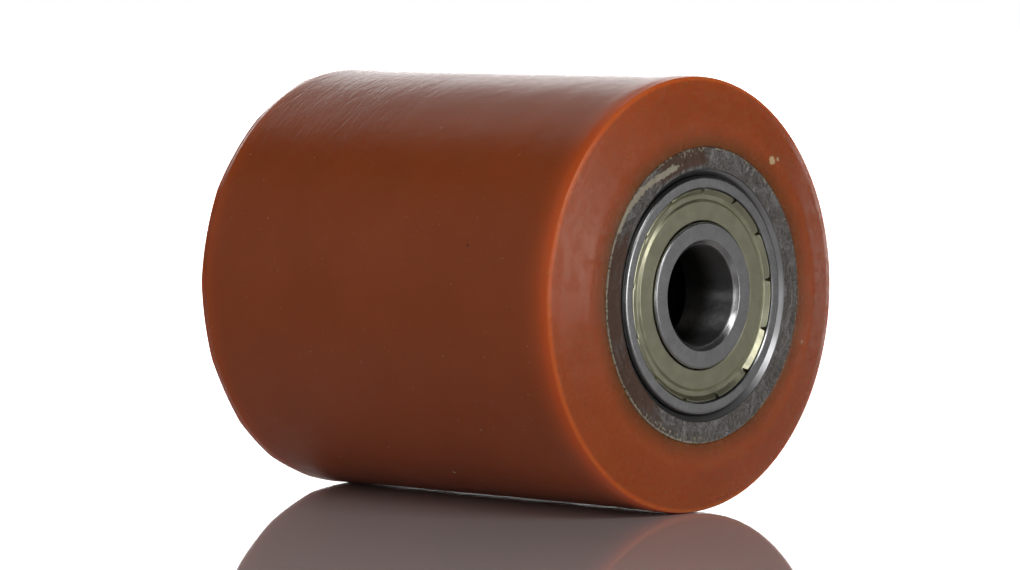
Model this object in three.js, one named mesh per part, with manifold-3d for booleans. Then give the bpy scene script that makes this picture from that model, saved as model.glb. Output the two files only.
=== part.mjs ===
// A load roller of the kind that runs under the forks of a pallet truck: a polyurethane tread
// moulded round a steel hub tube, turning on two shielded deep-groove ball bearings (bore 20,
// outside 47, width 14) that are pressed into seats in the ends of the hub.
//
// Millimetres. The roller's axis is Y, Z is up, and the origin is the middle of the roller.
// The front end faces -Y and the rear end faces +Y.
import * as THREE from "three";
import { mergeVertices } from "three/addons/utils/BufferGeometryUtils.js";
import Module from "manifold-3d";

// Driving dimensions.
const WIDTH = 100;
const TREAD_DIAMETER = 86;
const HUB_DIAMETER = 58;
const BEARING = { bore: 20, outside: 47, width: 14, recess: 0.1 };
const BALL = { diameter: 7.938, count: 8, circle: 33.5 };

// Facets round each turned piece, ball and rivet.
const BODY_FACETS = 64;
const BEARING_FACETS = 48;
const BALL_FACETS = 10;
const RIVET_FACETS = 6;

// Gaps between pieces that touch on the real roller, and the room the faceted balls run in.
const BOND_GAP = 0.05;
const SEAT_GAP = 0.15;
const RACE_GAP = 0.25;

// Sizes that follow from the driving ones.
const HALF_WIDTH = WIDTH / 2;
const TREAD_RADIUS = TREAD_DIAMETER / 2;
const HUB_RADIUS = HUB_DIAMETER / 2;
const BEARING_RADIUS = BEARING.outside / 2;
const BORE_RADIUS = BEARING.bore / 2;
const BEARING_HALF = BEARING.width / 2;
const BEARING_CENTRE = HALF_WIDTH - BEARING.recess - BEARING_HALF;
const BALL_RADIUS = BALL.diameter / 2;
const BALL_CIRCLE = BALL.circle / 2;
const BALL_PITCH = (2 * Math.PI) / BALL.count;
const RACE_RADIUS = BALL_RADIUS + RACE_GAP;

// The tread: a shallow waist from the mould's shrinkage, a flare to a rounded rim at each end,
// and an end face that rises as a cone to a flat band round the hub.
const TREAD = {
  waist: { radius: TREAD_RADIUS - 0.65, y: 34 },
  flare: { radius: TREAD_RADIUS - 0.5, y: 40.5 },
  rimStart: 46.2,
  rim: { radius: TREAD_RADIUS - 0.25, y: 46.9 },
  coneOuter: { radius: TREAD_RADIUS - 1, y: 47.35 },
  coneInner: { radius: HUB_RADIUS + 5, y: HALF_WIDTH - 0.1 },
};

// The hub tube: a bearing seat in each end, with a lead-in chamfer, and a shoulder behind it.
const HUB = {
  edgeChamfer: 0.3,
  mouthChamfer: 0.8,
  seatRadius: BEARING_RADIUS + SEAT_GAP,
  shoulderRadius: 20.8,
  shoulderY: HALF_WIDTH - BEARING.recess - BEARING.width - SEAT_GAP,
};

// The bearing's rings, with a groove for the rim of a shield at each side of the outer ring.
const OUTER_RING = { corner: 0.9, lipRadius: 20.5, shoulderRadius: 19.1, shoulderHalf: 5.1 };
const SHIELD_GROOVE = { radius: 21, outerY: 6.3, innerY: 5.3 };
const INNER_RING = { boreChamfer: 1, outsideRadius: 14.4, edgeChamfer: 0.6 };

// A shield is a pressed steel disc: a rim crimped into the outer ring's groove, a trough, a step,
// and a flat band that ends just clear of the inner ring.
const SHIELD = {
  rim: { radius: 20.8, outerY: 6.15, innerY: 5.6 },
  trough: { radius: 19.2, outerY: 5.75, innerY: 5.42 },
  step: { radius: 18.55, outerY: 6.45, innerY: 6.15 },
  innerRadius: 14.75,
};
const CRIMP = { count: 13, firstAngle: 0.27, width: 0.6, depth: 0.6, height: 2 };

// A ribbon cage: two pressed halves with half-round pockets, riveted between the balls.
const CAGE = { innerRadius: 15.2, outerRadius: 18.3, pocketRadius: 4.4, thickness: 0.6, halfGap: 0.1, columns: 56 };
const RIVET = { shankRadius: 0.5, holeRadius: 0.75, headRadius: 0.95, headStart: 0.85, headTop: 1.3 };

const STEEL = { metalness: 1, roughness: 0.35 };
const MATERIALS = {
  tread: new THREE.MeshStandardMaterial({ color: 0x8a4426, roughness: 0.35, metalness: 0 }),
  hub: new THREE.MeshStandardMaterial({ color: 0x5d5650, roughness: 0.65, metalness: 0.9 }),
  ring: new THREE.MeshStandardMaterial({ color: 0x8d8e92, ...STEEL }),
  shield: new THREE.MeshStandardMaterial({ color: 0x9c9a78, ...STEEL }),
  ball: new THREE.MeshStandardMaterial({ color: 0xc8cacd, roughness: 0.08, metalness: 1 }),
  cage: new THREE.MeshStandardMaterial({ color: 0xa5a29a, ...STEEL }),
};

const wasm = await Module();
wasm.setup();

// A closed three.js geometry as a solid that can be cut.
function solidOf(geometry) {
  const bare = geometry.clone();
  bare.deleteAttribute("normal");
  bare.deleteAttribute("uv");
  const merged = mergeVertices(bare, 1e-4);
  return new wasm.Manifold(
    new wasm.Mesh({
      numProp: 3,
      vertProperties: new Float32Array(merged.getAttribute("position").array),
      triVerts: new Uint32Array(merged.index.array),
    }),
  );
}

function geometryOf(solid) {
  const mesh = solid.getMesh();
  const geometry = new THREE.BufferGeometry();
  geometry.setAttribute("position", new THREE.BufferAttribute(mesh.vertProperties, 3));
  geometry.setIndex(new THREE.BufferAttribute(mesh.triVerts, 1));
  geometry.computeVertexNormals();
  return geometry;
}

// Cuts a copy of the tool out of the geometry at each of `count` equal steps round the Y axis.
function cutRoundAxis(geometry, tool, count, firstAngle) {
  let solid = solidOf(geometry);
  for (let i = 0; i < count; i++) {
    const turned = tool.clone().rotateY(firstAngle + (i * 2 * Math.PI) / count);
    solid = solid.subtract(solidOf(turned));
  }
  return geometryOf(solid);
}

// A ring turned about Y from [radius, y] points that run round its section. The radii are those
// of the flats, and half a step of turn puts a flat at the top, bottom and sides.
function turned(section, facets) {
  const toCorner = 1 / Math.cos(Math.PI / facets);
  const points = section.map(([radius, y]) => new THREE.Vector2(radius * toCorner, y));
  points.push(points[0].clone());
  return new THREE.LatheGeometry(points, facets, Math.PI / facets);
}

// A section that is the same on both sides of y = 0, from the points of its y > 0 half in order
// from the outside to the bore. `middle` points on y = 0 close each end of the half.
function mirrored(half, outerMiddle = [], innerMiddle = []) {
  const below = half.map(([radius, y]) => [radius, -y]);
  return [...innerMiddle, ...below.reverse(), ...outerMiddle, ...half];
}

function treadGeometry() {
  const { waist, flare, rimStart, rim, coneOuter, coneInner } = TREAD;
  const half = [
    [waist.radius, waist.y],
    [flare.radius, flare.y],
    [TREAD_RADIUS, rimStart],
    [rim.radius, rim.y],
    [coneOuter.radius, coneOuter.y],
    [coneInner.radius, coneInner.y],
    [HUB_RADIUS + BOND_GAP, coneInner.y],
  ];
  return turned(mirrored(half), BODY_FACETS);
}

function hubGeometry() {
  const { edgeChamfer, mouthChamfer, seatRadius, shoulderRadius, shoulderY } = HUB;
  const half = [
    [HUB_RADIUS, HALF_WIDTH - edgeChamfer],
    [HUB_RADIUS - edgeChamfer, HALF_WIDTH],
    [seatRadius + mouthChamfer, HALF_WIDTH],
    [seatRadius, HALF_WIDTH - mouthChamfer],
    [seatRadius, shoulderY],
    [shoulderRadius, shoulderY],
  ];
  return turned(mirrored(half), BODY_FACETS);
}

// The race's half section, from its shoulder at `shoulderRadius` to just before its bottom.
// `side` is 1 for the race outside the balls and -1 for the one inside them.
function halfRace(shoulderRadius, side) {
  const widest = Math.acos((side * (shoulderRadius - BALL_CIRCLE)) / RACE_RADIUS);
  const point = (angle) => [
    BALL_CIRCLE + side * RACE_RADIUS * Math.cos(angle),
    RACE_RADIUS * Math.sin(angle),
  ];
  return [point(widest), point(widest / 2)];
}

function outerRingGeometry() {
  const { corner, lipRadius, shoulderRadius, shoulderHalf } = OUTER_RING;
  const half = [
    [BEARING_RADIUS, BEARING_HALF - corner],
    [BEARING_RADIUS - corner, BEARING_HALF],
    [lipRadius, BEARING_HALF],
    [SHIELD_GROOVE.radius, SHIELD_GROOVE.outerY],
    [SHIELD_GROOVE.radius, SHIELD_GROOVE.innerY],
    [shoulderRadius, shoulderHalf],
    ...halfRace(shoulderRadius, 1),
  ];
  return turned(mirrored(half, [], [[BALL_CIRCLE + RACE_RADIUS, 0]]), BEARING_FACETS);
}

function innerRingGeometry() {
  const { boreChamfer, outsideRadius, edgeChamfer } = INNER_RING;
  const half = [
    ...halfRace(outsideRadius, -1).reverse(),
    [outsideRadius, BEARING_HALF - edgeChamfer],
    [outsideRadius - edgeChamfer, BEARING_HALF],
    [BORE_RADIUS + boreChamfer, BEARING_HALF],
    [BORE_RADIUS, BEARING_HALF - boreChamfer],
  ];
  return turned(mirrored(half, [[BALL_CIRCLE - RACE_RADIUS, 0]]), BEARING_FACETS);
}

// The shield on the +Y side of a bearing centred on the origin.
function shieldGeometry(crimped) {
  const { rim, trough, step, innerRadius } = SHIELD;
  const section = [
    [rim.radius, rim.innerY],
    [rim.radius, rim.outerY],
    [trough.radius, trough.outerY],
    [step.radius, step.outerY],
    [innerRadius, step.outerY],
    [innerRadius, step.innerY],
    [step.radius, step.innerY],
    [trough.radius, trough.innerY],
  ];
  const disc = turned(section, BEARING_FACETS);
  if (!crimped) return disc;
  const notch = new THREE.BoxGeometry(CRIMP.width, CRIMP.height, 2 * CRIMP.depth);
  notch.translate(0, rim.outerY, rim.radius);
  return cutRoundAxis(disc, notch, CRIMP.count, CRIMP.firstAngle);
}

// One cage half on the +Y side. It starts as a flat ring of two surfaces, y = 0 nearest the
// balls and y = 1 outside, and each is lifted over the balls by its own radius of pocket.
function cageHalfGeometry() {
  const { innerRadius, outerRadius, pocketRadius, thickness, halfGap, columns } = CAGE;
  const points = [
    [outerRadius, 0],
    [outerRadius, 1],
    [innerRadius, 1],
    [innerRadius, 0],
  ].map(([radius, y]) => new THREE.Vector2(radius, y));
  const ribbon = new THREE.LatheGeometry([...points, points[0].clone()], columns);
  const position = ribbon.getAttribute("position");
  for (let i = 0; i < position.count; i++) {
    const outside = position.getY(i) > 0.5 ? thickness : 0;
    const angle = Math.atan2(position.getX(i), position.getZ(i));
    const fromBall = BALL_CIRCLE * (angle - BALL_PITCH * Math.round(angle / BALL_PITCH));
    const pocket = Math.sqrt(Math.max(0, (pocketRadius + outside) ** 2 - fromBall ** 2));
    position.setY(i, Math.max(halfGap + outside, pocket));
  }
  const hole = new THREE.CylinderGeometry(RIVET.holeRadius, RIVET.holeRadius, 4, RIVET_FACETS);
  hole.translate(0, 0, BALL_CIRCLE);
  return cutRoundAxis(ribbon, hole, BALL.count, BALL_PITCH / 2);
}

function rivetGeometry() {
  const { shankRadius, headRadius, headStart, headTop } = RIVET;
  const points = [
    [0, -headTop],
    [headRadius, -headStart],
    [shankRadius, -headStart],
    [shankRadius, headStart],
    [headRadius, headStart],
    [0, headTop],
  ].map(([radius, y]) => new THREE.Vector2(radius, y));
  return new THREE.LatheGeometry(points, RIVET_FACETS);
}

const ballGeometry = new THREE.SphereGeometry(BALL_RADIUS, BALL_FACETS, BALL_FACETS / 2 + 1);
const rivet = rivetGeometry();
const cageHalf = cageHalfGeometry();
const crimpedShield = shieldGeometry(true);
const plainShield = shieldGeometry(false);
const outerRing = outerRingGeometry();
const innerRing = innerRingGeometry();

function named(name, geometry, material) {
  const mesh = new THREE.Mesh(geometry, material);
  mesh.name = name;
  return mesh;
}

// The same piece on the -Y side of the bearing.
function turnedOver(mesh) {
  mesh.rotation.x = Math.PI;
  return mesh;
}

// A whole bearing about its own centre, its +Y side being the one that shows at the roller's end.
function bearing(end) {
  const group = new THREE.Group();
  group.add(named(`${end}_outer_ring`, outerRing, MATERIALS.ring));
  group.add(named(`${end}_inner_ring`, innerRing, MATERIALS.ring));
  group.add(named(`${end}_outside_shield`, crimpedShield, MATERIALS.shield));
  group.add(turnedOver(named(`${end}_inside_shield`, plainShield, MATERIALS.shield)));
  group.add(named(`${end}_cage_half_outside`, cageHalf, MATERIALS.cage));
  group.add(turnedOver(named(`${end}_cage_half_inside`, cageHalf, MATERIALS.cage)));
  for (let i = 0; i < BALL.count; i++) {
    const ball = named(`${end}_ball_${i + 1}`, ballGeometry, MATERIALS.ball);
    ball.position.setFromCylindricalCoords(BALL_CIRCLE, i * BALL_PITCH, 0);
    const cageRivet = named(`${end}_cage_rivet_${i + 1}`, rivet, MATERIALS.cage);
    cageRivet.position.setFromCylindricalCoords(BALL_CIRCLE, (i + 0.5) * BALL_PITCH, 0);
    group.add(ball, cageRivet);
  }
  return group;
}

const roller = new THREE.Group();
roller.add(named("tread", treadGeometry(), MATERIALS.tread));
roller.add(named("hub_tube", hubGeometry(), MATERIALS.hub));

const rearBearing = bearing("rear");
rearBearing.position.y = BEARING_CENTRE;
const frontBearing = bearing("front");
frontBearing.rotation.x = Math.PI;
frontBearing.position.y = -BEARING_CENTRE;
roller.add(frontBearing, rearBearing);

export default roller;
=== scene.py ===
"""The looks of a pallet truck's load roller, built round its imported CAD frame.

The frame's axes: the roller's axis is Y, its front end faces -Y, and Z is up. Outlines are in
millimetres, as [radius, y] points, and angles run from +X towards +Z in degrees. Blender's own
lengths are metres.
"""
import math

import bmesh
import bpy
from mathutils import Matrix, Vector, noise


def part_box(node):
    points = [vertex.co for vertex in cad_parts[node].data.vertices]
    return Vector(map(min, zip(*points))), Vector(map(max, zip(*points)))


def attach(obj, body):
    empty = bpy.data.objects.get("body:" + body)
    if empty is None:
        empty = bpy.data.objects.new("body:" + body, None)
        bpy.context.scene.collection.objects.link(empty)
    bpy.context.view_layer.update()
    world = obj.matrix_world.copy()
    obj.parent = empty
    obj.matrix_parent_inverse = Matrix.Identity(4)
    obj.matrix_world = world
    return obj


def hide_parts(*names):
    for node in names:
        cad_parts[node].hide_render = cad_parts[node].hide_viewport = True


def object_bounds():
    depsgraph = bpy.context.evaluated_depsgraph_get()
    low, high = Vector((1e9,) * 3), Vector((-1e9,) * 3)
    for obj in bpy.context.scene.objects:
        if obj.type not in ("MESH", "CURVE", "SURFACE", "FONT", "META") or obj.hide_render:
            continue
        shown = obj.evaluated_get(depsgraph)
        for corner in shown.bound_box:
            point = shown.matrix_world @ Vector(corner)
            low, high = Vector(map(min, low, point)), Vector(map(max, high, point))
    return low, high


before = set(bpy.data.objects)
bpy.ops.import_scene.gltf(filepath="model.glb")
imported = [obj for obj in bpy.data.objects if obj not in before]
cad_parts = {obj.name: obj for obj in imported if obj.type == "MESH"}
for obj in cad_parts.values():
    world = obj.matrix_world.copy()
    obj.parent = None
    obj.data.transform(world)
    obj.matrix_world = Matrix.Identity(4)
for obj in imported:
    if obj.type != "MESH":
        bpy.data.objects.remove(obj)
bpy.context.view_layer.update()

MM = 0.001
ENDS = {"front": -1, "rear": 1}


def corner(node):
    """The highest corner of a CAD node, in millimetres."""
    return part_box(node)[1] / MM


def middle(node):
    """The middle of a CAD node's box, in millimetres."""
    low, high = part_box(node)
    return (low + high) / (2 * MM)


TREAD_RADIUS = corner("tread").z
HUB_RADIUS = corner("hub_tube").x
HALF_WIDTH = corner("hub_tube").y
RING_RADIUS = corner("rear_outer_ring").x
BEARING_CENTRE = middle("rear_outer_ring").y
BEARING_HALF = corner("rear_outer_ring").y - BEARING_CENTRE
BALL_CIRCLE = middle("rear_ball_1").z
BALL_RADIUS = corner("rear_ball_1").y - BEARING_CENTRE
BALL_COUNT = sum(node.startswith("rear_ball_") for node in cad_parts)

# The bearing's bore, the shoulders beside its races, and how closely the races hold the balls.
BORE_RADIUS = 10
MOUTH_RADIUS = RING_RADIUS + 1.2
OUTER_SHOULDER = 19.15
INNER_SHOULDER = 14.4
RACE_RADIUS = 1.04 * BALL_RADIUS

# The tread is waisted by the mould's shrinkage and flares out to a rounded rim at each end. From
# the rims the end faces rise as cones to a flat band round the hub.
RIM_RADIUS = TREAD_RADIUS - 0.04
WAIST_RADIUS = RIM_RADIUS - 0.22
RIM_Y = 47.3
FLAT_RADIUS = HUB_RADIUS + 5

# Where a knife has trimmed the flash off the rear rim: each cut runs from one angle to the next.
REAR_CUTS = [22, 44, 63, 86, 107, 129, 153, 179, 201, 222, 238, 255, 277, 296, 318, 341, 362]

# The shield's rim is crimped into tabs, with a notch before each.
CRIMP_COUNT = 13
FIRST_CRIMP = 21.5


# ---------------------------------------------------------------- outlines and meshes


def smooth_step(low, high, value):
    """0 at `low` and before it, 1 at `high` and beyond, and smooth between. `low` may be the
    greater of the two."""
    t = min(1, max(0, (value - low) / (high - low)))
    return t * t * (3 - 2 * t)


def fillet_points(before, at, after, radius, steps=6):
    """The arc that rounds the corner `at` of an outline."""
    back, on = (before - at).normalized(), (after - at).normalized()
    half = back.angle(on) / 2
    centre = at + (back + on).normalized() * (radius / math.sin(half))
    start = at + back * (radius / math.tan(half)) - centre
    end = at + on * (radius / math.tan(half)) - centre
    return [centre + start.slerp(end, i / steps) * radius for i in range(steps + 1)]


def outline(corners, longest=None):
    """A closed outline through [radius, y] or [radius, y, fillet] corners. Stretches longer than
    `longest` are divided, but not the plain cylinders."""
    places = [Vector(c[:2]) for c in corners]
    points = []
    for i, c in enumerate(corners):
        if len(c) == 3:
            points += fillet_points(places[i - 1], places[i], places[(i + 1) % len(places)], c[2])
        else:
            points.append(places[i])
    if longest is None:
        return points
    divided = []
    for a, b in zip(points, points[1:] + points[:1]):
        is_cylinder = abs(b.x - a.x) < 0.01
        parts = 1 if is_cylinder else max(1, math.ceil((b - a).length / longest))
        divided += [a.lerp(b, i / parts) for i in range(parts)]
    return divided


def both_ways(half):
    """A whole section from the half on the y > 0 side, which runs from inside to outside."""
    other = [[r, -y, *rest] for r, y, *rest in reversed(half)]
    return half + other


def arc(centre_radius, radius, first, last, steps):
    """[radius, y] points of an arc about a point on the ball circle's plane."""
    angles = [math.radians(first + (last - first) * i / steps) for i in range(steps + 1)]
    return [[centre_radius + radius * math.cos(a), radius * math.sin(a)] for a in angles]


def mesh_from(name, points, faces):
    """A mesh of points in millimetres, its faces turned outwards and shaded smooth."""
    mesh = bpy.data.meshes.new(name)
    mesh.from_pydata([Vector(p) * MM for p in points], [], faces)
    work = bmesh.new()
    work.from_mesh(mesh)
    bmesh.ops.recalc_face_normals(work, faces=work.faces)
    work.to_mesh(mesh)
    work.free()
    mesh.shade_smooth()
    mesh.set_sharp_from_angle(angle=math.radians(40))
    return mesh


def turned(name, section, steps, move=None, closed=True):
    """A solid turned about Y from a section. `move(radius, y, angle)` gives a point's new radius
    and y. A section that isn't closed begins and ends on the axis."""
    points, rings = [], []
    for radius, y in section:
        start = len(points)
        if radius < 1e-6:
            points.append((0, y, 0))
            rings.append([start] * steps)
            continue
        for i in range(steps):
            angle = 360 * i / steps
            r, h = move(radius, y, angle) if move else (radius, y)
            points.append((r * math.cos(math.radians(angle)), h, r * math.sin(math.radians(angle))))
        rings.append(list(range(start, start + steps)))
    pairs = list(zip(rings, rings[1:] + rings[:1])) if closed else list(zip(rings, rings[1:]))
    faces = []
    for a, b in pairs:
        for i in range(steps):
            j = (i + 1) % steps
            face = [a[i], a[j], b[j], b[i]]
            faces.append(list(dict.fromkeys(face)))
    return mesh_from(name, points, faces)


def placed(mesh, y=0, end=1, centre=None):
    """Moves a mesh made about the origin: turned over for the front end, then along the axis."""
    shift = Vector(centre or (0, y, 0)) * MM
    for vertex in mesh.vertices:
        x, h, z = vertex.co
        vertex.co = Vector((x, end * h, end * z)) + shift
    return mesh


def add_piece(mesh, name, body, node, material):
    """Shows a mesh in place of a CAD node."""
    piece = bpy.data.objects.new(name, mesh)
    bpy.context.scene.collection.objects.link(piece)
    mesh.materials.append(material)
    piece.modifiers.new("even_shading", "WEIGHTED_NORMAL").keep_sharp = True
    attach(piece, body)
    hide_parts(node)
    return piece


# ---------------------------------------------------------------- materials


class Nodes:
    """Adds nodes to a tree. A node's input is a number, a colour or another node's socket."""

    def __init__(self, tree):
        self.tree = tree

    def add(self, kind, inputs=None, **settings):
        node = self.tree.nodes.new(kind)
        for name, value in settings.items():
            setattr(node, name, value)
        for socket, value in (inputs or {}).items():
            self.feed(node.inputs[socket], value)
        return node

    def feed(self, socket, value):
        if isinstance(value, bpy.types.NodeSocket):
            self.tree.links.new(value, socket)
        else:
            socket.default_value = value

    def maths(self, operation, a, b=0.0):
        return self.add("ShaderNodeMath", {0: a, 1: b}, operation=operation).outputs[0]

    def fade(self, value, low, high, start=0.0, end=1.0):
        """Goes smoothly from `start` at `low` to `end` at `high`."""
        inputs = {"Value": value, "From Min": low, "From Max": high, "To Min": start, "To Max": end}
        return self.add("ShaderNodeMapRange", inputs, interpolation_type="SMOOTHSTEP").outputs[0]


class Surface(Nodes):
    """A node material under construction. Its coordinates are millimetres in the frame."""

    def __init__(self, name, **sockets):
        self.material = bpy.data.materials.new(name)
        self.material.use_nodes = True
        super().__init__(self.material.node_tree)
        self.shader = self.tree.nodes["Principled BSDF"]
        for socket, value in sockets.items():
            self.shader.inputs[socket.replace("_", " ")].default_value = value
        self.coordinates = self.add("ShaderNodeTexCoord")
        metres = self.coordinates.outputs["Object"]
        scale = self.add("ShaderNodeVectorMath", {0: metres, "Scale": 1 / MM}, operation="SCALE")
        self.place = scale.outputs[0]
        apart = self.add("ShaderNodeSeparateXYZ", {0: self.place})
        self.x, self.y, self.z = apart.outputs
        across = self.maths("POWER", self.x, 2)
        up = self.maths("POWER", self.z, 2)
        self.radius = self.maths("SQRT", self.maths("ADD", across, up))
        self.width = self.maths("ABSOLUTE", self.y)

    def set(self, **sockets):
        for socket, value in sockets.items():
            self.feed(self.shader.inputs[socket.replace("_", " ")], value)

    def noise(self, scale, detail=3.0, vector=None, distortion=0.0):
        inputs = {"Vector": vector or self.place, "Scale": scale, "Detail": detail}
        inputs["Distortion"] = distortion
        return self.add("ShaderNodeTexNoise", inputs).outputs[0]

    def mix(self, factor, a, b):
        node = self.add("ShaderNodeMix", data_type="RGBA")
        self.feed(node.inputs[0], factor)
        self.feed(node.inputs[6], a)
        self.feed(node.inputs[7], b)
        return node.outputs[2]

    def vector(self, x, y, z):
        return self.add("ShaderNodeCombineXYZ", {0: x, 1: y, 2: z}).outputs[0]

    def round_the_axis(self, along, across):
        """Coordinates that change by `along` in one radian round the axis, and by `across` per
        millimetre of radius or width, so that noise in them makes rings."""
        u = self.maths("MULTIPLY", self.maths("DIVIDE", self.x, self.radius), along)
        v = self.maths("MULTIPLY", self.maths("DIVIDE", self.z, self.radius), along)
        rings = self.maths("MULTIPLY", self.maths("ADD", self.radius, self.y), across)
        return self.vector(u, rings, v)

    def painted(self, name):
        """A number that the mesh carries at each of its points."""
        return self.add("ShaderNodeAttribute", attribute_name=name).outputs["Fac"]

    def near(self, point, reach):
        """1 at a point in millimetres, falling to 0 at about `reach` from it."""
        node = self.add("ShaderNodeVectorMath", {0: self.place, 1: point}, operation="DISTANCE")
        ragged = self.maths("MULTIPLY", self.noise(1.6 / reach, 3), reach)
        return self.fade(self.maths("ADD", node.outputs["Value"], ragged), 1.3 * reach, 1.1 * reach)

    def bump(self, height, distance, below=None):
        """Raises the surface by `height` times `distance` millimetres, on top of another bump."""
        inputs = {"Height": height, "Distance": distance * MM, "Strength": 1.0}
        if below is not None:
            inputs["Normal"] = below
        return self.add("ShaderNodeBump", inputs).outputs[0]


def cylinder_point(degrees, y, radius):
    """The point at an angle round the axis, in millimetres."""
    return (radius * math.cos(math.radians(degrees)), y, radius * math.sin(math.radians(degrees)))


def urethane_colour(s, is_end):
    """Red-brown with a painted glow near the rims, browner round the hub, and with dust on it."""
    cloud = s.fade(s.noise(0.06, 4), 0.35, 0.65)
    colour = s.mix(cloud, (0.465, 0.095, 0.02, 1), (0.495, 0.102, 0.022, 1))
    # Painted glow: light that enters at a rim comes out again near it, mostly through the side, and
    # is painted in as a brighter orange.
    inward = s.maths("SUBTRACT", RIM_RADIUS, s.radius)
    along = s.maths("SUBTRACT", RIM_Y, s.width)
    squares = s.maths("ADD", s.maths("POWER", inward, 2), s.maths("POWER", along, 2))
    from_rim = s.maths("SQRT", squares)
    on_side = s.fade(inward, 1.3, 0.7, 0.12, 1.0)
    reach = s.fade(s.y, -10, 10, 9.5, 7.0)
    painted_rim_glow = s.add("ShaderNodeMapRange", {0: from_rim, 1: reach, 2: -1.0}, clamp=True).outputs[0]
    painted_rim_glow = s.maths("POWER", painted_rim_glow, 2.4)
    colour = s.mix(s.maths("MULTIPLY", painted_rim_glow, on_side), colour, (1.0, 0.195, 0.036, 1))
    # The casting is thin and browner where it laps the hub.
    lap = s.maths("ADD", s.radius, s.maths("MULTIPLY", s.noise(0.12, 2), 3))
    near_hub = s.maths("MULTIPLY", s.fade(lap, HUB_RADIUS + 6, HUB_RADIUS + 1), is_end)
    colour = s.mix(near_hub, colour, (0.28, 0.072, 0.013, 1))
    edge = s.maths("MULTIPLY", s.fade(lap, HUB_RADIUS + 2.1, HUB_RADIUS + 1.3), is_end)
    return add_dust(s, s.mix(s.maths("MULTIPLY", edge, 0.4), colour, (0.13, 0.055, 0.024, 1)))


def add_dust(s, colour):
    """Pale specks in two sizes, one dark spot, and a few flakes stuck to the tread."""
    large = s.fade(s.noise(1.1, 2), 0.76, 0.79)
    small = s.fade(s.noise(2.3, 1), 0.765, 0.8, 0, 0.6)
    colour = s.mix(s.maths("MAXIMUM", large, small), colour, (0.75, 0.5, 0.36, 1))
    dark = s.near(cylinder_point(165.6, -25.3, WAIST_RADIUS), 0.42)
    colour = s.mix(dark, colour, (0.16, 0.03, 0.012, 1))
    flakes = [
        (cylinder_point(51.3, -HALF_WIDTH, 33.2), 1.2),
        (cylinder_point(48.9, -HALF_WIDTH + 0.1, 34.5), 0.6),
        (cylinder_point(-19.4, -HALF_WIDTH, 32.1), 0.45),
        (cylinder_point(237.6, -4.5, WAIST_RADIUS), 0.5),
    ]
    for place, reach in flakes:
        colour = s.mix(s.near(place, reach), colour, (0.85, 0.6, 0.36, 1))
    return colour


def urethane_relief(s, is_end):
    """Fine rings from turning, short scratches, and wrinkles on the top of the rear half."""
    rings = s.noise(1.0, 4, s.round_the_axis(3.0, 2.2))
    streaks = s.noise(1.0, 3, s.round_the_axis(40.0, 1.3))
    scratches = s.noise(1.0, 4, s.round_the_axis(5.0, 5.0), 0.6)
    wrinkled = s.maths("MULTIPLY", s.fade(s.z, 22, 34), s.fade(s.y, -10, 22))
    wrinkles = s.noise(1.0, 4, s.round_the_axis(6.0, 0.55), 1.2)
    wrinkles = s.maths("MULTIPLY", wrinkles, wrinkled)
    normal = s.bump(s.noise(0.1, 2), 0.2)
    normal = s.bump(rings, 0.006, normal)
    normal = s.bump(streaks, 0.012, normal)
    normal = s.bump(s.maths("MULTIPLY", scratches, is_end), 0.08, normal)
    normal = s.bump(wrinkles, 0.13, normal)
    return s.bump(s.noise(0.55, 3), 0.035, normal)


def urethane():
    """Translucent polyurethane, with patches of duller gloss on its end faces."""
    s = Surface(
        "urethane",
        IOR=1.5,
        Specular_Tint=(1.0, 0.93, 0.87, 1),
        Subsurface_Weight=0.65,
        Subsurface_Radius=(1.0, 0.16, 0.06),
        Subsurface_Scale=12 * MM,
    )
    is_end = s.fade(s.width, RIM_Y - 0.4, RIM_Y + 0.2)
    rough = s.fade(s.noise(0.8, 5), 0.3, 0.7, 0.16, 0.26)
    patches = s.fade(s.noise(0.3, 6, distortion=1.0), 0.5, 0.6, 0, 0.1)
    rough = s.maths("ADD", rough, s.maths("MULTIPLY", patches, is_end))
    s.set(
        Base_Color=urethane_colour(s, is_end),
        Roughness=rough,
        Normal=urethane_relief(s, is_end),
    )
    return s.material


def hub_marks(s):
    """How rusty the hub is, and how much bonding agent lies on it, both with ragged edges."""
    flow = s.noise(0.5, 6, s.round_the_axis(8.0, 2.0))
    ragged = s.maths("MULTIPLY", s.maths("SUBTRACT", flow, 0.5), 1.6)
    rust = s.fade(s.maths("ADD", s.painted("rust"), ragged), 0.3, 0.85)
    crumbs = s.maths("MULTIPLY", s.maths("SUBTRACT", s.noise(1.6, 6), 0.5), 2.6)
    glue = s.fade(s.maths("ADD", s.painted("glue"), crumbs), 0.55, 0.75)
    return rust, glue


def hub_relief(s, grain, scraped, glue, raw):
    """Rough where the steel is raw, with faint rings from turning everywhere."""
    stretched = s.vector(s.maths("MULTIPLY", s.x, 0.35), s.y, s.maths("MULTIPLY", s.z, 4))
    sawn = s.noise(1.0, 4, stretched)
    normal = s.bump(s.maths("MULTIPLY", grain, raw), 0.2)
    normal = s.bump(s.maths("MULTIPLY", scraped, raw), 0.5, normal)
    normal = s.bump(s.maths("MULTIPLY", sawn, raw), 0.05, normal)
    normal = s.bump(s.maths("MULTIPLY", glue, raw), 0.12, normal)
    return s.bump(s.noise(1.0, 3, s.round_the_axis(1.5, 7.0)), 0.006, normal)


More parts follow.
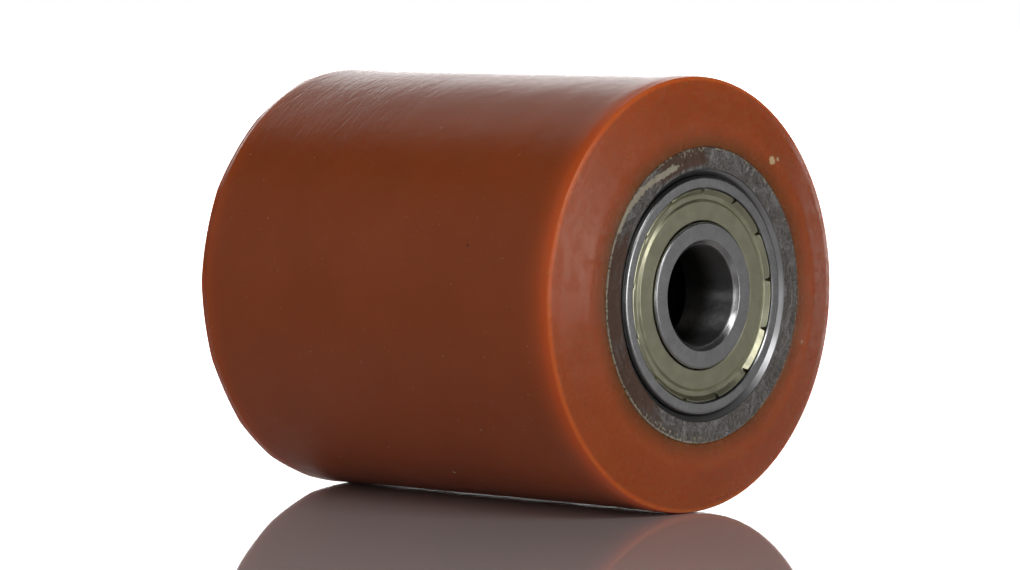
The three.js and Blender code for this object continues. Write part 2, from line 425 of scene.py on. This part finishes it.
def hub_steel():
    """Sawn mild steel, scraped and a little rusty, with dried bonding agent on its ends. The mouth
    and the seat of each bearing are turned bright; painted shade darkens the tube between them."""
    s = Surface("hub_steel", IOR=1.5)
    grain, fine = s.noise(1.4, 5), s.noise(6.0, 3)
    scraped = s.noise(0.2, 5, distortion=2.0)
    pits = s.fade(s.noise(2.4, 5), 0.44, 0.36, 0, 0.75)
    rust, glue = hub_marks(s)
    in_mouth = s.fade(s.radius, MOUTH_RADIUS + 0.15, MOUTH_RADIUS - 0.05)
    turned_bright = s.maths("MULTIPLY", in_mouth, s.fade(s.width, 34, 35))
    # inside: the tube between the bearing seats, which is given painted shade.
    inside = s.maths("SUBTRACT", in_mouth, turned_bright)
    raw = s.maths("SUBTRACT", 1.0, turned_bright)

    colour = s.mix(s.fade(grain, 0.3, 0.7), (0.185, 0.168, 0.155, 1), (0.265, 0.245, 0.23, 1))
    colour = s.mix(s.fade(scraped, 0.5, 0.66, 0, 0.7), colour, (0.37, 0.36, 0.355, 1))
    colour = s.mix(s.fade(fine, 0.6, 0.8), colour, (0.44, 0.43, 0.41, 1))
    colour = s.mix(pits, colour, (0.05, 0.044, 0.04, 1))
    colour = s.mix(rust, colour, (0.115, 0.062, 0.04, 1))
    colour = s.mix(glue, colour, (0.46, 0.41, 0.31, 1))
    colour = s.mix(turned_bright, colour, (0.42, 0.42, 0.43, 1))
    # Painted shade: the tube inside, between the bearing seats, is painted nearly black.
    colour = s.mix(inside, colour, (0.03, 0.026, 0.024, 1))

    # Where rust or bonding agent covers the steel, it doesn't shine like metal.
    covered = s.maths("MAXIMUM", s.maths("MULTIPLY", rust, 0.75), glue)
    covered = s.maths("MULTIPLY", covered, raw)
    roughness = s.fade(fine, 0.3, 0.7, 0.4, 0.6)
    s.set(
        Base_Color=colour,
        Metallic=s.fade(covered, 0.0, 1.0, 0.92, 0.0),
        Roughness=s.add("ShaderNodeMix", {0: turned_bright, 2: roughness, 3: 0.3}).outputs[0],
        Normal=hub_relief(s, grain, scraped, glue, raw),
    )
    return s.material


def ground_strokes(s, facing):
    """Relief: short radial strokes on the faces, and rings on the round surfaces."""
    u = s.maths("MULTIPLY", s.maths("DIVIDE", s.x, s.radius), 90.0)
    v = s.maths("MULTIPLY", s.maths("DIVIDE", s.z, s.radius), 90.0)
    strokes = s.noise(1.0, 3, s.vector(u, s.maths("MULTIPLY", s.radius, 0.6), v))
    rings = s.noise(1.0, 3, s.round_the_axis(1.5, 9.0))
    is_face = s.fade(facing, 0.8, 0.95)
    return s.add("ShaderNodeMix", {0: is_face, 2: rings, 3: strokes}).outputs[0]


def ring_colour(s, strokes, in_bore):
    """Grey, and darker in the strokes. Painted shade darkens the outer ring's outside corners, and
    the bore has painted shade deep inside and a painted highlight near its mouth.
    """
    stain = s.fade(s.noise(0.3, 4), 0.3, 0.7)
    colour = s.mix(stain, (0.42, 0.42, 0.425, 1), (0.5, 0.5, 0.505, 1))
    colour = s.mix(s.fade(strokes, 0.35, 0.65, 0, 0.5), colour, (0.3, 0.3, 0.305, 1))
    # Painted shade on the outer ring's outside corner, where it sits in the hub's mouth.
    painted_corner_shade = s.fade(s.radius, RING_RADIUS - 0.4, RING_RADIUS - 0.24, 0, 0.85)
    colour = s.mix(painted_corner_shade, colour, (0.04, 0.036, 0.033, 1))
    # Painted light and shade in the bore: dark deep inside, where shade falls, and brighter near the
    # mouth to paint in its highlight.
    painted_bore_light = s.fade(s.width, 40.5, 46.5)
    bore = s.mix(painted_bore_light, (0.1, 0.095, 0.09, 1), (0.55, 0.54, 0.54, 1))
    return s.mix(in_bore, colour, bore)


def ring_steel():
    """Ground bearing steel. Its edges are smoother than its faces, and the bore is honed round and
    round, so the highlights in it are drawn out along it."""
    s = Surface("ring_steel", Metallic=1.0)
    facing = s.add("ShaderNodeSeparateXYZ", {0: s.coordinates.outputs["Normal"]}).outputs[1]
    facing = s.maths("ABSOLUTE", facing)
    strokes = ground_strokes(s, facing)
    in_bore = s.fade(s.radius, BORE_RADIUS + 0.3, BORE_RADIUS + 0.1)
    is_edge = s.fade(facing, 0.985, 0.96)
    rough = s.fade(s.noise(1.2, 4), 0.3, 0.7, 0.3, 0.36)
    rough = s.maths("SUBTRACT", rough, s.maths("MULTIPLY", is_edge, 0.12))
    rough = s.maths("ADD", rough, s.maths("MULTIPLY", in_bore, 0.12))
    round_axis = s.add("ShaderNodeTangent", direction_type="RADIAL", axis="Y").outputs[0]
    s.set(
        Base_Color=ring_colour(s, strokes, in_bore),
        Roughness=rough,
        Anisotropic=s.maths("MULTIPLY", in_bore, 0.95),
        Anisotropic_Rotation=0.25,
        Tangent=round_axis,
        Normal=s.bump(strokes, 0.007),
    )
    return s.material


def shield_steel():
    """Pressed sheet steel with a satin, slightly yellow plating."""
    s = Surface("shield_steel", Metallic=1.0)
    cloud = s.noise(0.35, 4)
    colour = s.mix(s.fade(cloud, 0.3, 0.7), (0.45, 0.44, 0.305, 1), (0.52, 0.51, 0.365, 1))
    colour = s.mix(s.fade(s.noise(1.3, 4), 0.62, 0.72), colour, (0.42, 0.4, 0.26, 1))
    drawn = s.noise(1.0, 3, s.round_the_axis(4.0, 5.0))
    rough = s.fade(s.noise(2.0, 4), 0.3, 0.7, 0.3, 0.38)
    s.set(Base_Color=colour, Roughness=rough, Normal=s.bump(drawn, 0.004))
    return s.material


def cage_steel():
    """Pressed steel strip, a little oily."""
    s = Surface("cage_steel", Metallic=1.0)
    colour = s.mix(s.fade(s.noise(0.8, 4), 0.3, 0.7), (0.42, 0.39, 0.34, 1), (0.56, 0.53, 0.48, 1))
    rough = s.fade(s.noise(1.5, 4), 0.3, 0.7, 0.25, 0.4)
    s.set(Base_Color=colour, Roughness=rough, Normal=s.bump(s.noise(3.0, 3), 0.02))
    return s.material


def ball_steel():
    """Polished bearing steel with the faint tracks of running."""
    s = Surface("ball_steel", Metallic=1.0)
    squeezed = s.vector(s.maths("MULTIPLY", s.x, 0.4), s.maths("MULTIPLY", s.y, 7.0), s.z)
    tracks = s.noise(1.0, 3, squeezed)
    colour = s.mix(s.fade(tracks, 0.4, 0.7), (0.7, 0.7, 0.72, 1), (0.6, 0.6, 0.61, 1))
    s.set(Base_Color=colour, Roughness=s.fade(tracks, 0.4, 0.7, 0.05, 0.14))
    return s.material


# ---------------------------------------------------------------- tread and hub


def cut_depth(angle):
    """How far a trimming cut goes into the rear rim at an angle."""
    turn = angle if angle >= REAR_CUTS[0] else angle + 360
    for start, end in zip(REAR_CUTS, REAR_CUTS[1:] + [REAR_CUTS[0] + 360]):
        if start <= turn < end:
            t = (turn - start) / (end - start)
            deeper = 0.4 * smooth_step(95, 125, angle) * smooth_step(235, 205, angle)
            return t * (1 - t) * (end - start) / 24 + deeper
    return 0


def worn_tread(radius, y, angle):
    """The rims are trimmed by hand, and the cast surfaces aren't quite true."""
    place = Vector(cylinder_point(angle, y, radius))
    at_rim = smooth_step(RIM_Y - 2.4, RIM_Y - 0.6, abs(y)) * smooth_step(38, 41.5, radius)
    if y > 0:
        radius -= at_rim * cut_depth(angle)
    else:
        radius -= at_rim * (0.02 + 0.02 * noise.noise(place * 0.12))
        # The mould's parting line stands up a little along the top.
        seen = smooth_step(80, 90, angle) * smooth_step(140, 112, angle)
        wander = 0.25 * noise.noise(place * 0.15)
        radius += 0.045 * seen * math.exp(-(((y + 43.7 + wander) / 0.22) ** 2))
    if abs(y) < RIM_Y - 0.4:
        radius += 0.03 * noise.noise(place * 0.07) - 0.02
    elif radius < TREAD_RADIUS - 1:
        y -= math.copysign(0.05 * (0.5 + noise.noise(place * 0.1)), y)
    return radius, y


def tread_mesh():
    """The waisted side, between two rounded rims and two coned ends."""
    side = [
        [WAIST_RADIUS + (RIM_RADIUS - WAIST_RADIUS) * (abs(y) / 44) ** 8, y]
        for y in range(-43, 44)
    ]
    end = [
        [RIM_RADIUS, RIM_Y - 2.2, 8],
        [RIM_RADIUS - 0.18, RIM_Y - 0.15, 0.5],
        [RIM_RADIUS - 2.4, RIM_Y + 0.78, 5],
        [FLAT_RADIUS, HALF_WIDTH - 0.02, 5],
        [HUB_RADIUS + 0.05, HALF_WIDTH - 0.02, 0.25],
    ]
    other = [[r, -y, fillet] for r, y, fillet in reversed(end)]
    section = outline(other + side + end, longest=1.0)
    return turned("tread_surface", section, 320, worn_tread)


def glue_at(radius, angle):
    """Where dried bonding agent lies on the front end of the hub, from 0 to 1."""
    along = smooth_step(100, 112, angle) * smooth_step(158, 150, angle)
    streak_radius = 26.7 + 2.2 * smooth_step(108, 150, angle)
    streak = 1.35 * along * math.exp(-((radius - streak_radius) / 0.75) ** 2)
    edge = smooth_step(130, 150, angle) * smooth_step(285, 255, angle)
    line = (0.58 + 0.27 * edge) * smooth_step(HUB_RADIUS - 0.7, HUB_RADIUS - 0.15, radius)
    low = smooth_step(225, 236, angle) * smooth_step(282, 265, angle)
    flakes = 0.52 * low * smooth_step(26.2, 28.0, radius)
    right = smooth_step(20, 40, angle) * smooth_step(84, 64, angle)
    crumbs = 0.45 * right * smooth_step(27.4, 28.6, radius)
    above = smooth_step(70, 80, angle) * smooth_step(112, 100, angle)
    top = 0.5 * above * smooth_step(26.5, 28.2, radius)
    return max(streak, line, flakes, crumbs, top)


def rust_at(radius, angle):
    """How rusty the front end of the hub is, from 0 to 1."""
    left = smooth_step(128, 165, angle) * smooth_step(265, 225, angle)
    smear = smooth_step(80, 95, angle) * smooth_step(128, 112, angle)
    return max(0.85 * left, smear * smooth_step(24.5, 26, radius), 0.14)


def sawn_hub(radius, y, angle):
    """The sawn ends are uneven, and what sticks to them stands up from them."""
    if abs(y) > HALF_WIDTH - 0.4:
        place = Vector(cylinder_point(angle, y, radius))
        rise = 0.03 * noise.noise(place * 0.9) + 0.02 * noise.noise(place * 3)
        if y < 0:
            rise += 0.05 * glue_at(radius, angle)
        y += math.copysign(min(rise, 0.05), y)
    return radius, y


def hub_mesh():
    """The tube with its bearing seats. Its points carry how rusty and how gluey they are."""
    inside, seat = 20.8, RING_RADIUS + 0.06
    shoulder_y = BEARING_CENTRE - BEARING_HALF - 0.05
    half = [
        [inside, shoulder_y, 0.3],
        [seat, shoulder_y, 0.3],
        [seat, HALF_WIDTH - 1.2, 0.3],
        [MOUTH_RADIUS, HALF_WIDTH - 0.06, 0.2],
        [HUB_RADIUS, HALF_WIDTH - 0.06, 0.2],
    ]
    mesh = turned("hub_surface", outline(both_ways(half), longest=0.4), 300, sawn_hub)
    marks = {"glue": glue_at, "rust": rust_at}
    for name, amount in marks.items():
        values = []
        for vertex in mesh.vertices:
            x, y, z = vertex.co / MM
            angle = math.degrees(math.atan2(z, x)) % 360
            # The rear end has the same kinds of mark, turned half round.
            angle = angle if y < 0 else (angle + 180) % 360
            values.append(amount(math.hypot(x, z), angle))
        mesh.attributes.new(name, "FLOAT", "POINT").data.foreach_set("value", values)
    return mesh


# ---------------------------------------------------------------- bearings


def outer_ring_mesh():
    """An outer ring, with its race and the grooves that the shields are crimped into."""
    face = BEARING_HALF
    groove = 21.05
    widest = math.degrees(math.acos((OUTER_SHOULDER - BALL_CIRCLE) / RACE_RADIUS))
    race = arc(BALL_CIRCLE, RACE_RADIUS, 0, widest, 9)[1:]
    half = [
        *race,
        [OUTER_SHOULDER, face - 1.8, 0.2],
        [groove, face - 1.7],
        [groove, face - 0.2],
        [groove + 0.2, face],
        [RING_RADIUS, face, 0.75],
    ]
    return turned("outer_ring_surface", outline(both_ways(half)), 192)


def inner_ring_mesh():
    """An inner ring, with its race and the chamfered bore."""
    face = BEARING_HALF
    widest = math.degrees(math.acos((BALL_CIRCLE - INNER_SHOULDER) / RACE_RADIUS))
    race = arc(BALL_CIRCLE, RACE_RADIUS, 180, 180 - widest, 9)[1:]
    chamfer = 0.9
    half = [
        *race,
        [INNER_SHOULDER, face, 0.45],
        [BORE_RADIUS + chamfer, face, 0.3],
        [BORE_RADIUS, face - chamfer, 0.4],
    ]
    return turned("inner_ring_surface", outline(both_ways(half)), 192)


def crimped(radius, y, angle):
    """Parts the raised rim of a shield into tabs with small three-cornered notches."""
    pitch = 360 / CRIMP_COUNT
    turn = (angle - FIRST_CRIMP) % pitch
    from_notch = min(turn, pitch - turn)
    on_rim = smooth_step(19.95, 20.75, radius)
    half_notch = 0.85 * on_rim
    notch = smooth_step(half_notch + 0.25, half_notch - 0.1, from_notch) * smooth_step(0, 0.3, on_rim)
    dent = math.exp(-((from_notch / 2.5) ** 2)) * smooth_step(19.4, 20.0, radius)
    return radius, y - 1.1 * notch - 0.12 * dent


def shield_mesh():
    """A shield on the +Y side of its bearing: lip, flat band, step, trough and crimped rim."""
    sheet = 0.26
    flat = BEARING_HALF - 0.6
    trough, lip_foot, rim_foot = flat - 0.42, flat - 0.55, flat - 0.25
    outside = [
        [14.62, lip_foot],
        [14.62, flat, 0.2],
        [18.35, flat, 0.2],
        [18.8, trough, 0.2],
        [19.75, trough, 0.2],
        [20.62, flat + 0.36, 0.1],
        [20.86, flat + 0.3, 0.1],
        [20.86, rim_foot],
    ]
    inside = [
        [20.62, rim_foot],
        [20.58, flat],
        [19.8, trough - sheet],
        [18.65, trough - sheet],
        [18.2, flat - sheet],
        [14.88, flat - sheet],
        [14.88, lip_foot],
    ]
    section = outline(outside + inside, longest=0.3)
    return turned("shield_surface", section, 64 * CRIMP_COUNT, crimped)


def cage_path():
    """Where one half of the cage runs: [angle, y] points in the middle of its sheet."""
    pocket, flat = BALL_RADIUS + 0.75, 0.37
    angles = [math.radians(-76 + 9.5 * i) for i in range(17)]
    over = [(pocket * math.sin(a), pocket * math.cos(a)) for a in angles]
    path = [(-5.25, flat), (-4.85, flat + 0.2), *over, (4.85, flat + 0.2), (5.25, flat), (6.2, flat)]
    pitch = 2 * math.pi / BALL_COUNT
    return [(ball * pitch + d / BALL_CIRCLE, y) for ball in range(BALL_COUNT) for d, y in path]


def cage_half_mesh():
    """One half of a ribbon cage: a pocket over each ball, and flats between for the rivets."""
    columns = cage_path()
    half_sheet = 0.3
    # The sheet's section: a rectangle with small chamfers, across it in half thicknesses.
    radii = [15.25, 15.35, 18.15, 18.25, 18.25, 18.15, 15.35, 15.25]
    sides = [0.6, 1, 1, 0.6, -0.6, -1, -1, -0.6]
    points, faces, count = [], [], len(columns)
    for i in range(count):
        before, (middle_angle, y), after = columns[i - 1], columns[i], columns[(i + 1) % count]
        run = ((after[0] - before[0]) % (2 * math.pi)) * BALL_CIRCLE
        across = Vector((before[1] - after[1], run)).normalized() * half_sheet
        for radius, side in zip(radii, sides):
            angle = middle_angle + side * across.x / BALL_CIRCLE
            points.append((radius * math.sin(angle), y + side * across.y, radius * math.cos(angle)))
    size = len(radii)
    for i in range(count):
        for j in range(size):
            a, b = i * size, (i + 1) % count * size
            faces.append([a + j, a + (j + 1) % size, b + (j + 1) % size, b + j])
    return mesh_from("cage_surface", points, faces)


def ball_mesh():
    """A ball turned from half a circle."""
    half_circle = [[r, y] for r, y in arc(0, BALL_RADIUS, -90, 90, 20)]
    half_circle[0][0] = half_circle[-1][0] = 0
    return turned("ball_surface", half_circle, 32, closed=False)


def rivet_mesh():
    """A rivet with two domed heads."""
    angles = [math.radians(a) for a in range(15, 90, 15)]
    head = [[0.95 * math.cos(a), 0.75 + 0.5 * math.sin(a)] for a in angles]
    half = [[0.55, 0.72], [0.95, 0.74], *head, [0, 1.25]]
    other = [[r, -y] for r, y in reversed(half)]
    return turned("rivet_surface", other + half, 20, closed=False)


# ---------------------------------------------------------------- the whole roller


def build_roller():
    """A finished piece for every CAD node: the tread, the hub, and 22 pieces at each end."""
    tread, hub, ring, shield = urethane(), hub_steel(), ring_steel(), shield_steel()
    cage, ball = cage_steel(), ball_steel()
    add_piece(tread_mesh(), "tread_casting", "roller", "tread", tread)
    add_piece(hub_mesh(), "hub_tube_steel", "roller", "hub_tube", hub)
    for end, side in ENDS.items():
        centre = side * BEARING_CENTRE
        rings = [
            ("outer_ring", outer_ring_mesh(), side, "roller", "ring_steel", ring),
            ("inner_ring", inner_ring_mesh(), side, "axle_side", "ring_steel", ring),
            ("outside_shield", shield_mesh(), side, "roller", "shield_steel", shield),
            ("inside_shield", shield_mesh(), -side, "roller", "shield_steel", shield),
            ("cage_half_outside", cage_half_mesh(), side, f"{end}_cage", "cage_steel", cage),
            ("cage_half_inside", cage_half_mesh(), -side, f"{end}_cage", "cage_steel", cage),
        ]
        for name, mesh, facing, body, slot, material in rings:
            node = f"{end}_{name}"
            add_piece(placed(mesh, centre, facing), f"{node}_steel", body, node, material)
        for i in range(1, BALL_COUNT + 1):
            node = f"{end}_ball_{i}"
            mesh = placed(ball_mesh(), centre=middle(node))
            add_piece(mesh, f"{node}_steel", node, node, ball)
            node = f"{end}_cage_rivet_{i}"
            mesh = placed(rivet_mesh(), centre=middle(node))
            add_piece(mesh, f"{node}_steel", f"{end}_cage", node, cage)


# ---------------------------------------------------------------- studio


def build_floor():
    """A glossy white table top under the roller."""
    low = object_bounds()[0]
    reach = 6
    mesh = bpy.data.meshes.new("floor")
    corners = [(x * reach, y * reach, low.z) for x, y in ((-1, -1), (1, -1), (1, 1), (-1, 1))]
    mesh.from_pydata(corners, [], [(0, 1, 2, 3)])
    floor = bpy.data.objects.new("floor", mesh)
    bpy.context.scene.collection.objects.link(floor)
    material = bpy.data.materials.new("white_gloss")
    material.use_nodes = True
    tree = material.node_tree
    white = (0.66, 0.655, 0.66, 1)
    gloss = tree.nodes["Principled BSDF"]
    gloss.inputs["Base Color"].default_value = white
    gloss.inputs["Roughness"].default_value = 0.03
    matt = tree.nodes.new("ShaderNodeBsdfDiffuse")
    matt.inputs["Color"].default_value = white
    blend = tree.nodes.new("ShaderNodeMixShader")
    blend.inputs["Fac"].default_value = 0.1
    tree.links.new(gloss.outputs[0], blend.inputs[1])
    tree.links.new(matt.outputs[0], blend.inputs[2])
    tree.links.new(blend.outputs[0], tree.nodes["Material Output"].inputs["Surface"])
    mesh.materials.append(material)


def wall_light(n, around, height):
    """The bright wall: brightest at its foot, and reaching further left high up than low down."""
    from_middle = n.maths("SUBTRACT", around, 48.0)
    high_up = n.fade(height, 12.0, 28.0)
    high_left = n.maths("MULTIPLY", n.fade(from_middle, -60.0, -36.0), high_up)
    left_edge = n.maths("MAXIMUM", high_left, n.fade(from_middle, -32.0, -12.0))
    wide = n.maths("MULTIPLY", left_edge, n.fade(from_middle, 20.0, 36.0, 1.0, 0.0))
    foot = n.fade(height, 6.8, 9.5, 2.0, 0.0)
    brightness = n.maths("ADD", n.fade(height, 20.0, 38.0, 1.4, 0.42), foot)
    top_edge = n.fade(height, 46.0, 62.0, 1.0, 0.0)
    return n.maths("MULTIPLY", wide, n.maths("MULTIPLY", brightness, top_edge))


def card_light(n, around, height):
    """A card low in front of the roller's end, and a faint glow to its left."""
    sideways = n.fade(n.maths("ABSOLUTE", n.maths("SUBTRACT", around, 162.0)), 14.0, 18.0, 1.0, 0.0)
    card = n.maths("MULTIPLY", sideways, n.fade(height, 2.0, 12.0, 4.2, 1.8))
    card = n.maths("MULTIPLY", card, n.fade(height, 11.5, 14.5, 1.0, 0.0))
    ahead = n.fade(n.maths("ABSOLUTE", n.maths("SUBTRACT", around, 130.0)), 18.0, 30.0, 0.12, 0.0)
    ahead = n.maths("MULTIPLY", ahead, n.fade(height, 5.0, 15.0, 1.0, 0.0))
    return n.maths("MAXIMUM", card, ahead)


def build_world():
    """White to the eye, and round the roller a dim room with one wide bright wall, which stands
    behind the roller. Directions in it are degrees round from +Y towards +X, and degrees up."""
    world = bpy.data.worlds.new("studio")
    bpy.context.scene.world = world
    world.use_nodes = True
    world.node_tree.nodes.clear()
    n = Nodes(world.node_tree)
    towards = n.add("ShaderNodeTexCoord").outputs["Generated"]
    x, y, z = n.add("ShaderNodeSeparateXYZ", {0: towards}).outputs
    around = n.maths("MULTIPLY", n.maths("ARCTAN2", x, y), 180 / math.pi)
    height = n.maths("MULTIPLY", n.maths("ARCSINE", z), 180 / math.pi)
    dim_left = n.maths("MULTIPLY", n.fade(around, -20.0, -50.0), n.fade(height, 35.0, 65.0, 0.2, 0.0))
    light = n.maths("ADD", wall_light(n, around, height), dim_left)
    light = n.maths("ADD", light, card_light(n, around, height))
    light = n.maths("ADD", light, 0.05)
    seen = n.add("ShaderNodeLightPath").outputs["Is Camera Ray"]
    unseen = n.maths("SUBTRACT", 1.0, seen)
    strength = n.maths("ADD", n.maths("MULTIPLY", light, unseen), seen)
    background = n.add("ShaderNodeBackground", {"Color": (1, 1, 1, 1), "Strength": strength})
    n.add("ShaderNodeOutputWorld", {0: background.outputs[0]})


def add_softbox(name, around, height, size, power):
    """A rectangular light that faces the roller from 1.4 m, `around` degrees from +Y towards +X
    and `height` degrees up."""
    lamp = bpy.data.lights.new(name, "AREA")
    lamp.shape = "RECTANGLE"
    lamp.size, lamp.size_y = size
    lamp.energy = power
    light = bpy.data.objects.new(name, lamp)
    bpy.context.scene.collection.objects.link(light)
    a, e = math.radians(around), math.radians(height)
    away = Vector((math.sin(a) * math.cos(e), math.cos(a) * math.cos(e), math.sin(e)))
    light.location = away * 1.4
    light.rotation_mode = "QUATERNION"
    light.rotation_quaternion = away.to_track_quat("Z", "Y")
    light.visible_camera = False


def build_lights():
    """A tall strip over the camera, a small panel to its left, and a broad one high to its right."""
    add_softbox("strip", 224, 13, (0.12, 0.75), 0.95)
    add_softbox("side", 248, 3, (0.3, 0.2), 0.65)
    add_softbox("front", 195, 36, (0.9, 0.4), 3.9)


def build_camera():
    """A long lens from the front left, a little above the roller's axis."""
    data = bpy.data.cameras.new("camera")
    data.lens, data.sensor_width = 179.2, 36
    camera = bpy.data.objects.new("camera", data)
    bpy.context.scene.collection.objects.link(camera)
    camera.location = (-0.7574, -0.6881, 0.0645)
    camera.rotation_euler = (math.radians(90 - 3.61), 0, math.radians(-47.69))
    data.clip_start, data.clip_end = 0.05, 50
    bpy.context.scene.camera = camera


build_roller()
build_floor()
build_world()
build_lights()
build_camera()
bpy.context.scene.view_settings.view_transform = "Standard"
